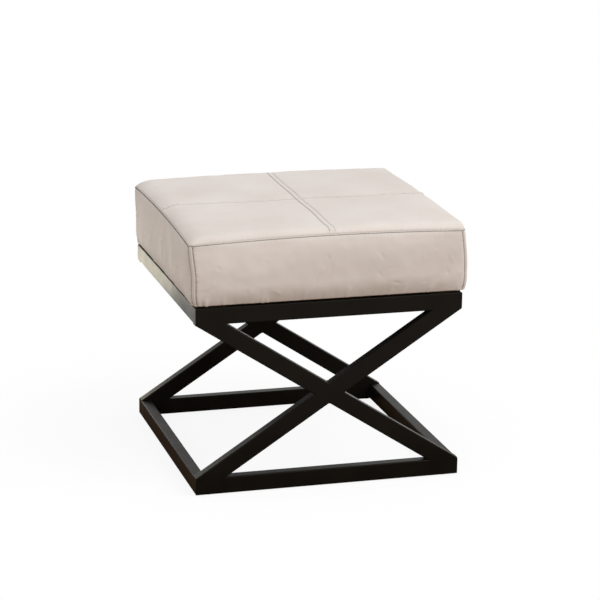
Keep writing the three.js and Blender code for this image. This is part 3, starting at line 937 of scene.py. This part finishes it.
def makeCover():
    along = gradedLine(2 * half) / half - 1
    height = gradedLine(cushion["sideHeight"]) / cushion["sideHeight"]
    share = np.linspace(0, 1, coverMesh["foldRows"] + 1)[:-1]
    quarter = gradedLine(half) / half
    for turns, side in enumerate(sideNames):
        under = underSurface(turns, along[None, :], share[:, None])
        upper = sideSurface(turns, along[None, :], height[:, None])
        points, normals = (np.concatenate(pair) for pair in zip(under, upper))
        coverPanel(f"coverSide{side.capitalize()}", points, normals, f"cover_side_{side}")
    for corner, signs in cornerNames.items():
        u, v = (quarter if sign > 0 else -quarter[::-1] for sign in signs)
        name = "coverTop" + "".join(word.capitalize() for word in corner.split("_"))
        coverPanel(name, *topSurface(u[None, :], v[:, None]), f"cover_top_{corner}")


makeCover()
print("cover made")


# Stitches

stitch = {
    "length": 3.9,
    "lengthSpread": (0.9, 1.06),
    "pitch": 4.7,
    "sway": 0.14,
    "rings": 6,
    "sides": 5,
    "samples": 400,
    # Each stitch rises from its hole, lies over the cover and goes down again
    "archTurn": 0.98,
    "archPower": 0.6,
    "archShare": 0.62,
    "sunkShare": 0.5,
    "endShare": 0.35,
    "endPower": 0.4,
    # Thickness of the thread, and the places where the rows end
    "edge": {"thread": 1.7, "end": 0.998, "seed": 101},
    "corner": {"thread": 1.8, "low": 0.01, "belowEdge": 0.005, "seed": 111},
    "middle": {"threads": {-1: 1.2, 1: 0.84}, "end": 0.985, "seed": 121},
    "cross": {"threads": {-1: 1.14, 1: 0.6}, "end": 0.985, "seed": 125},
}


def stitchRow(surface, start, end, thickness, seed):
    # Stitches along a straight line between two places in a surface's own shares.
    draw = np.random.default_rng(seed)
    samples = np.linspace(0, 1, stitch["samples"])

    def at(share):
        return surface(start[0] + (end[0] - start[0]) * share, start[1] + (end[1] - start[1]) * share)

    track, _ = at(samples)
    travelled = np.concatenate([[0], np.cumsum(np.linalg.norm(np.diff(track, axis=0), axis=1))])
    count = max(1, int(travelled[-1] / stitch["pitch"]))
    rings, sides = stitch["rings"], stitch["sides"]
    ringShare = np.linspace(-0.5, 0.5, rings)
    middles = (np.arange(count) + 0.5) * travelled[-1] / count
    lengths = stitch["length"] * draw.uniform(*stitch["lengthSpread"], (count, 1))
    where = middles[:, None] + ringShare[None, :] * lengths
    points, normals = at(np.interp(where, travelled, samples))
    across = unit(np.cross(normals, unit(np.gradient(points, axis=1))))
    arch = np.cos(ringShare * math.pi * stitch["archTurn"])
    lift = thickness * (stitch["archShare"] * arch ** stitch["archPower"] - stitch["sunkShare"])
    sway = draw.normal(0, stitch["sway"], (count, 1)) * ringShare[None, :] * 2
    centre = points + normals * lift[None, :, None] + across * sway[..., None]
    taper = stitch["endShare"] + (1 - stitch["endShare"]) * arch ** stitch["endPower"]
    radius = (thickness / 2 * taper)[None, :, None, None]
    angle = (np.arange(sides) / sides * 2 * math.pi)[None, None, :, None]
    ring = radius * (np.cos(angle) * across[:, :, None, :] + np.sin(angle) * normals[:, :, None, :])
    faces = []
    for k in range(count):
        first = k * rings * sides
        faces += gridFaces(rings, sides, first, closed=True)
        faces.append(tuple(first + j for j in range(sides))[::-1])
        faces.append(tuple(first + (rings - 1) * sides + j for j in range(sides)))
    return (centre[:, :, None, :] + ring).reshape(-1, 3), faces


def makeStitches():
    rows = {"stitchesEdge": [], "stitchesCorners": [], "stitchesTop": []}
    edge, corner, middle, cross = (stitch[name] for name in ("edge", "corner", "middle", "cross"))
    height = 1 - stitchLines["edge"] / cushion["sideHeight"]
    beside = 1 - stitchLines["corner"] / half
    for turns in range(4):
        def surface(p, q, turns=turns):
            return sideSurface(turns, p, q)
        ends = (-edge["end"], height), (edge["end"], height)
        rows["stitchesEdge"].append(stitchRow(surface, *ends, edge["thread"], edge["seed"] + turns))
        for sign in (-1, 1):
            ends = (sign * beside, corner["low"]), (sign * beside, height - corner["belowEdge"])
            row = stitchRow(surface, *ends, corner["thread"], corner["seed"] + turns)
            rows["stitchesCorners"].append(row)
    for sign in (-1, 1):
        for seam, name in ((middle, "middle"), (cross, "cross")):
            place = sign * stitchLines[name] / half
            ends = np.array([(place, -seam["end"]), (place, seam["end"])])
            ends = ends if name == "middle" else ends[:, ::-1]
            row = stitchRow(topSurface, *ends, seam["threads"][sign], seam["seed"] + sign)
            rows["stitchesTop"].append(row)
    for name, parts in rows.items():
        addPiece(name, *joined(parts), thread)


makeStitches()
print("stitches made")


# Foam and wadding, inside the cover

soft = {
    "waddingInset": 4.6,
    "waddingInner": 8.6,
    "foamInset": 9.0,
    "steps": 61,
    "rows": 13,
    "mergeWithin": 0.05,
}


def softShell(inset, low):
    along = np.linspace(-1, 1, soft["steps"])
    height = np.linspace(0, 1, soft["rows"])
    parts = [(topPlace(*np.meshgrid(along, along), inset).reshape(-1, 3), gridFaces(len(along), len(along)))]
    rim = []
    for turns in range(4):
        points = sidePlace(along[None, :], height[:, None], turns, inset, low)
        parts.append((points.reshape(-1, 3), gridFaces(len(height), len(along))))
        rim.append(points[0, :-1])
    return parts, np.concatenate(rim)


def softBlock(name, parts, material, node):
    piece = addPiece(name, *joined(parts), material)
    merge = piece.modifiers.new("merge", "WELD")
    merge.merge_threshold = soft["mergeWithin"] * mm
    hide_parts(node)


def fillWithFoam():
    low = boxMm("foam_block")[0][2]
    parts, rim = softShell(soft["foamInset"], low)
    fan = [(len(rim), (k + 1) % len(rim), k) for k in range(len(rim))]
    parts.append((np.concatenate([rim, [[0.0, 0.0, low]]]), fan))
    softBlock("foamBlock", parts, foam, "foam_block")


def wrapInWadding():
    low = boxMm("wadding_wrap")[0][2]
    parts, rim = softShell(soft["waddingInset"], low)
    lining, innerRim = softShell(soft["waddingInner"], low)
    parts += [(vertices, [face[::-1] for face in faces]) for vertices, faces in lining]
    count = len(rim)
    hem = [((k + 1) % count, k, k + count, (k + 1) % count + count) for k in range(count)]
    parts.append((np.concatenate([rim, innerRim]), hem))
    softBlock("waddingWrap", parts, waddingFleece, "wadding_wrap")


fillWithFoam()
wrapInWadding()
print("foam and wadding made")


# Black cloth that closes the seat from below, with a hole for each seat screw, and its staples

dustCloth = {
    "side": 456.0,
    "thickness": 0.5,
    "level": 340.35,
    "sag": 2.0,
    "sagUneven": 0.35,
    "sagReach": 214.0,
    "screwPlace": 206.0,
    "holeRadius": 5.0,
    "holeCells": 3,
    "middleCells": 44,
}


def clothLevel(x, y):
    reach = dustCloth["sagReach"]
    loose = np.clip(1 - (x / reach) ** 2, 0, 1) * np.clip(1 - (y / reach) ** 2, 0, 1)
    sag = dustCloth["sag"] + dustCloth["sagUneven"] * cloudWaves(x, y, "dustCloth")
    return dustCloth["level"] - loose * sag


def makeDustCloth():
    # A hole takes the place of some cells of the grid, one cell in from both edges.
    edge, across = dustCloth["side"] / 2, dustCloth["holeCells"]
    cell = (edge - dustCloth["screwPlace"]) / (1 + across / 2)
    near = edge - cell * np.arange(across + 2)
    middle = np.linspace(-near[-1], near[-1], dustCloth["middleCells"] + 1)[1:-1]
    lines = np.concatenate([-near, middle, near[::-1]])
    count = len(lines)
    flat = np.stack(np.meshgrid(lines, lines), axis=-1).reshape(-1, 2)
    firsts = (1, count - across - 2)
    holes = [(i, j) for i in firsts for j in firsts]
    cut = {(i + k, j + m) for i, j in holes for k in range(across) for m in range(across)}
    faces = [face for face in gridFaces(count, count) if divmod(face[0], count) not in cut]
    steps, line = [], [(0, k) for k in range(across)]
    for _ in range(4):
        steps += line
        line = [(j, across - i) for i, j in line]
    points = [flat]
    start = len(flat)
    for i, j in holes:
        rim = [(i + k) * count + j + m for k, m in steps]
        centre = flat[rim].mean(0)
        points.append(centre + unit(flat[rim] - centre) * dustCloth["holeRadius"])
        for k in range(len(rim)):
            n = (k + 1) % len(rim)
            faces.append((rim[k], rim[n], start + n, start + k))
        start += len(rim)
    flat = np.concatenate(points)
    vertices = np.column_stack([flat, clothLevel(flat[:, 0], flat[:, 1])])
    up = np.tile([0.0, 0.0, 1.0], (len(vertices), 1))
    sheet = thickened(vertices, faces, up, dustCloth["thickness"] / 2, dustCloth["thickness"] / 2)
    piece = addPiece("dustCloth", *sheet, spunbond)
    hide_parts("dust_cloth")


staple = {
    "crown": 10.0,
    "leg": 7.0,
    "width": 1.2,
    "height": 0.6,
    "bend": 0.9,
    "bendSteps": 4,
    "sides": 6,
    "line": 214.0,
    "reach": 165.0,
    "perSide": 9,
    # How far they stray from their row: radians, along it and across it
    "seed": 141,
    "slant": 0.22,
    "strayAlong": 5.0,
    "strayAcross": 1.0,
}


def makeStaples():
    # Each one goes up through the cloth and the cover's folded edge into the board.
    draw = np.random.default_rng(staple["seed"])
    angle = np.linspace(0, math.pi / 2, staple["bendSteps"])
    bendX = staple["crown"] / 2 - staple["bend"] + staple["bend"] * np.sin(angle)
    bendZ = staple["bend"] * (1 - np.cos(angle))
    halfX = np.concatenate([bendX, [bendX[-1]]])
    halfZ = np.concatenate([bendZ, [staple["leg"]]])
    pathX, pathZ = np.concatenate([-halfX[::-1], halfX]), np.concatenate([halfZ[::-1], halfZ])
    path = np.column_stack([pathX, np.zeros(len(pathX)), pathZ])
    across = np.tile([0.0, 1.0, 0.0], (len(path), 1))
    upright = np.cross(unit(np.gradient(path, axis=0)), across)
    shape, faces = swept(path, across, upright, staple["width"], staple["height"], staple["sides"])
    level = dustCloth["level"] - dustCloth["thickness"] / 2 - staple["height"] / 2
    parts = []
    for turns in range(4):
        for place in np.linspace(-staple["reach"], staple["reach"], staple["perSide"]):
            slant, strayAlong, strayAcross = (
                draw.uniform(-staple[key], staple[key]) for key in ("slant", "strayAlong", "strayAcross")
            )
            x = shape[:, 0] * math.cos(slant) - shape[:, 1] * math.sin(slant) + place + strayAlong
            y = shape[:, 0] * math.sin(slant) + shape[:, 1] * math.cos(slant) - staple["line"] + strayAcross
            x, y = turned(x, y, turns)
            parts.append((np.column_stack([x, y, shape[:, 2] + level]), faces))
    addPiece("clothStaples", *joined(parts), stapleSteel)


makeDustCloth()
makeStaples()
print("dust cloth and staples made")


# Welds of the frame. Outside they are ground flush and painted over; inside corners keep a small bead.

weld = {
    "proud": 0.02,
    "grooveDepth": 2.1,
    "gap": 0.45,
    "cornerSteps": 5,
    "beadRadius": 1.5,
    "beadPitch": 2.1,
    "beadSteps": 6,
    "beadNeck": 0.12,
    "beadEndPower": 12,
    "beadEndLeast": 0.05,
    "beadShort": 1.0,
}


def roundedOutline(width, height, radiusX, radiusY):
    angle = np.linspace(0, math.pi / 2, weld["cornerSteps"])
    points = []
    for quarter, (signX, signY) in enumerate(((1, 1), (-1, 1), (-1, -1), (1, -1))):
        turn = angle + quarter * math.pi / 2
        points.append(np.column_stack([
            signX * (width / 2 - radiusX) + radiusX * np.cos(turn),
            signY * (height / 2 - radiusY) + radiusY * np.sin(turn),
        ]))
    return np.concatenate(points)


def groundWeld(centre, along, across, width, height, radiusX, low, high):
    # A filled joint of rounded section, from low to high along the line square to it.
    proud = 2 * weld["proud"]
    outline = roundedOutline(width + proud, height + proud, radiusX, steel["cornerRadius"])
    square = np.cross(along, across)
    ring = outline[:, :1] * along + outline[:, 1:] * across
    count = len(outline)
    vertices = np.concatenate([centre + ring + square * low, centre + ring + square * high])
    faces = [(k, (k + 1) % count, (k + 1) % count + count, k + count) for k in range(count)]
    faces += [tuple(range(count))[::-1], tuple(range(count, 2 * count))]
    return vertices, faces


def weldBead(middle, way, length):
    # A rippled bead, round in section
    steps = max(2, int(length / weld["beadPitch"] * weld["beadSteps"]))
    share = np.linspace(0, 1, steps + 1)
    path = middle + way * length * (share - 0.5)[:, None]
    across = np.tile(np.cross(way, [1.0, 0.0, 0.0]), (len(path), 1))
    wave = np.abs(np.sin(share * length / weld["beadPitch"] * math.pi))
    ends = np.sqrt(np.clip(1 - np.abs(2 * share - 1) ** weld["beadEndPower"], weld["beadEndLeast"], 1))
    width = 2 * weld["beadRadius"] * (1 - weld["beadNeck"] + weld["beadNeck"] * wave) * ends
    return swept(path, across, np.cross(way, across), width, width)


def makeMitreWelds():
    # Each mitre's plane runs from the outer to the inner corner of its ring.
    face, depth = steel["face"], steel["depth"]
    radius, root, gap = steel["cornerRadius"], math.sqrt(2), weld["gap"] / 2
    up = np.array([0.0, 0.0, 1.0])
    flush, beads = [], []
    for middle in (steel["base"] + face / 2, steel["top"] - face / 2):
        for signX, signY in cornerNames.values():
            outwards = np.array([signX, signY, 0.0])
            centre = outwards * (half - depth / 2) + up * middle
            size = depth * root, face, radius * root
            flush.append(groundWeld(centre, unit(outwards), up, *size, -gap, gap))
            beads.append(weldBead(outwards * (half - depth) + up * middle, up, face - 2 * radius))
    return flush, beads


def makeCrossWelds():
    face, depth = steel["face"], steel["depth"]
    radius, groove, gap = steel["cornerRadius"], weld["grooveDepth"], weld["gap"]
    middle = (steel["base"] + steel["top"]) / 2
    reach = (steel["top"] - steel["base"]) / 2 - face
    angle = math.atan2(2 * reach, 2 * half) + math.asin(face / math.hypot(2 * half, 2 * reach))
    width, cut = face / math.sin(angle), face / math.sin(2 * angle)
    level, deep = np.array([1.0, 0.0, 0.0]), np.array([0.0, 1.0, 0.0])
    beadLength = depth - 2 * weld["beadShort"]
    flush, beads = [], []
    for front in (-1, 1):
        y = front * (half - depth / 2)
        for signX in (-1, 1):
            for signZ in (-1, 1):
                # A bar's end against a rail, and the groove of the rail's rounded edge
                centre = np.array([signX * reach / math.tan(angle), y, middle + signZ * reach])
                low, high = (-groove, gap) if signZ < 0 else (-gap, groove)
                size = width, depth, radius / math.sin(angle)
                flush.append(groundWeld(centre, level, deep, *size, low, high))
                for side in (-1, 1):
                    root = centre + level * side * width / 2
                    if abs(root[0]) < half - depth:
                        beads.append(weldBead(root, deep, beadLength))
            # A half bar against the long bar. The back is the front turned by half a turn.
            rise = np.array([math.cos(angle), 0.0, math.sin(angle) * -front])
            square = np.array([-rise[2], 0.0, rise[0]])
            centre = np.array([0.0, y, middle]) + rise * signX * face / 2 / math.tan(2 * angle) * front
            size = cut, depth, radius / math.sin(2 * angle)
            low, high = face / 2 - groove, face / 2 + gap
            flush.append(groundWeld(centre, rise * signX, deep, *size, low, high))
            for end in (-1, 1):
                root = centre + square * signX * face / 2 + rise * end * cut / 2
                beads.append(weldBead(root, deep, beadLength))
    return flush, beads


mitreWelds, crossWelds = makeMitreWelds(), makeCrossWelds()
for number, name in enumerate(("groundWelds", "weldBeads")):
    parts = mitreWelds[number] + crossWelds[number]
    addPiece(name, *joined(parts), powderCoat, smooth=name == "weldBeads")
print("welds made")


# Frame: the tubes, plates, screws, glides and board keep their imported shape

nodeMaterials = (
    (powderCoat, ("lower_", "upper_", "front_cross", "back_cross", "corner_plate")),
    (nylon, ("floor_glide",)),
    (zincSteel, ("seat_screw", "seat_washer", "tee_nut")),
    (plywood, ("seat_board",)),
)


def dressNodes():
    for name, node in nodes.items():
        for material, starts in nodeMaterials:
            if name.startswith(starts):
                for slotOfNode in node.material_slots:
                    slotOfNode.material = material
                if not node.material_slots:
                    node.data.materials.append(material)


dressNodes()
print("frame dressed")


# Floor, backdrop and light, in metres

stage = {
    "size": 30.0,
    "nearReach": 0.9,
    "nearShares": {"From Min": 0.1, "From Max": 0.6},
    "shadowShare": 0.12,
    "paint": "#fbfbfa",
    "thrownBack": "#84674c",
    "fill": 0.67,
}
lamps = {
    "keyLight": {"place": (2.6, -2.8, 3.1), "size": 4.2, "power": 147},
    "leftLight": {"place": (-2.9, -1.0, 1.6), "size": 2.2, "power": 18},
    "overheadLight": {"place": (0.8, -0.2, 3.2), "size": 3.6, "power": 6},
    # A warm reflector low behind the left side, which shows only in the shine of the paint
    "lowLight": {
        "place": (-0.385, 0.9, 0.15),
        "size": 0.2,
        "power": 0.55,
        "colour": "#fff5d9",
        "aim": (-0.24, 0.14, 0.327),
        "shineOnly": True,
    },
}
white = (1, 1, 1, 1)
seeingRays = ("Is Camera Ray", "Is Glossy Ray", "Is Transmission Ray")


def largestOf(tree, values):
    most = values[0]
    for value in values[1:]:
        most = addNode(tree, "Math", links={0: most, 1: value}, operation="MAXIMUM").outputs[0]
    return most


def makeFloor():
    # Matt paint. The camera sees it white, with a part of the stool's shadow. The light that it throws on
    # things is brownish, and shiny surfaces show it brownish near the stool and white further off.
    values = {"Roughness": 0.9, "Specular IOR Level": 0.0}
    material, tree, shader, place = newMaterial("paintedFloor", values)
    path = addNode(tree, "LightPath")
    colours = {6: hexColour(stage["thrownBack"]), 7: hexColour(stage["paint"])}
    colour = addNode(tree, "Mix", colours, {0: path.outputs["Is Camera Ray"]}, data_type="RGBA")
    tree.links.new(colour.outputs[2], shader.inputs["Base Color"])
    scaled = addNode(tree, "Mapping", {"Scale": (1 / stage["nearReach"],) * 3}, {"Vector": place})
    links = {"Vector": scaled.outputs["Vector"]}
    around = addNode(tree, "TexGradient", links=links, gradient_type="SPHERICAL")
    shares = []
    for ray in seeingRays:
        least = 1 - stage["shadowShare"] if ray == "Is Camera Ray" else 0.0
        values = {**stage["nearShares"], "To Min": 1.0, "To Max": least}
        links = {"Value": around.outputs["Fac"]}
        plain = addNode(tree, "MapRange", values, links, interpolation_type="SMOOTHSTEP")
        links = {0: plain.outputs["Result"], 1: path.outputs[ray]}
        shares.append(addNode(tree, "Math", links=links, operation="MULTIPLY").outputs[0])
    plainWhite = addNode(tree, "Emission", {"Color": white, "Strength": 1.0})
    links = {0: largestOf(tree, shares), 1: shader.outputs[0], 2: plainWhite.outputs[0]}
    mixed = addNode(tree, "MixShader", links=links)
    output = next(node for node in tree.nodes if node.bl_idname == "ShaderNodeOutputMaterial")
    tree.links.new(mixed.outputs[0], output.inputs["Surface"])
    size = stage["size"]
    floorMesh = bpy.data.meshes.new("floor")
    corners = [(-size, -size, 0), (size, -size, 0), (size, size, 0), (-size, size, 0)]
    floorMesh.from_pydata(corners, [], [(0, 1, 2, 3)])
    floorMesh.materials.append(material)
    floor = bpy.data.objects.new("floor", floorMesh)
    bpy.context.collection.objects.link(floor)


def makeWorld():
    # Plain white where it is seen, also in a glossy or clear surface, and dimmer as light on things
    world = bpy.data.worlds.new("studio")
    world.use_nodes = True
    tree = world.node_tree
    tree.nodes.clear()
    path = addNode(tree, "LightPath")
    links = {"Value": largestOf(tree, [path.outputs[ray] for ray in seeingRays])}
    strength = addNode(tree, "MapRange", {"To Min": stage["fill"], "To Max": 1.0}, links)
    background = addNode(tree, "Background", {"Color": white}, {"Strength": strength.outputs["Result"]})
    addNode(tree, "OutputWorld", links={"Surface": background.outputs[0]})
    bpy.context.scene.world = world


def addSoftLight(name, place, size, power, colour="#ffffff", aim=(0, 0, 0.35), shineOnly=False):
    data = bpy.data.lights.new(name, "AREA")
    data.shape = "DISK"
    data.size = size
    data.energy = power
    data.color = hexColour(colour)[:3]
    light = bpy.data.objects.new(name, data)
    light.location = place
    light.rotation_euler = (Vector(aim) - Vector(place)).to_track_quat("-Z", "Y").to_euler()
    bpy.context.collection.objects.link(light)
    if shineOnly:
        light.visible_camera = False
        light.visible_diffuse = False


makeFloor()
makeWorld()
for name, lamp in lamps.items():
    addSoftLight(name, **lamp)
scene = bpy.context.scene
scene.view_settings.view_transform = "Standard"
print("stage and light made")
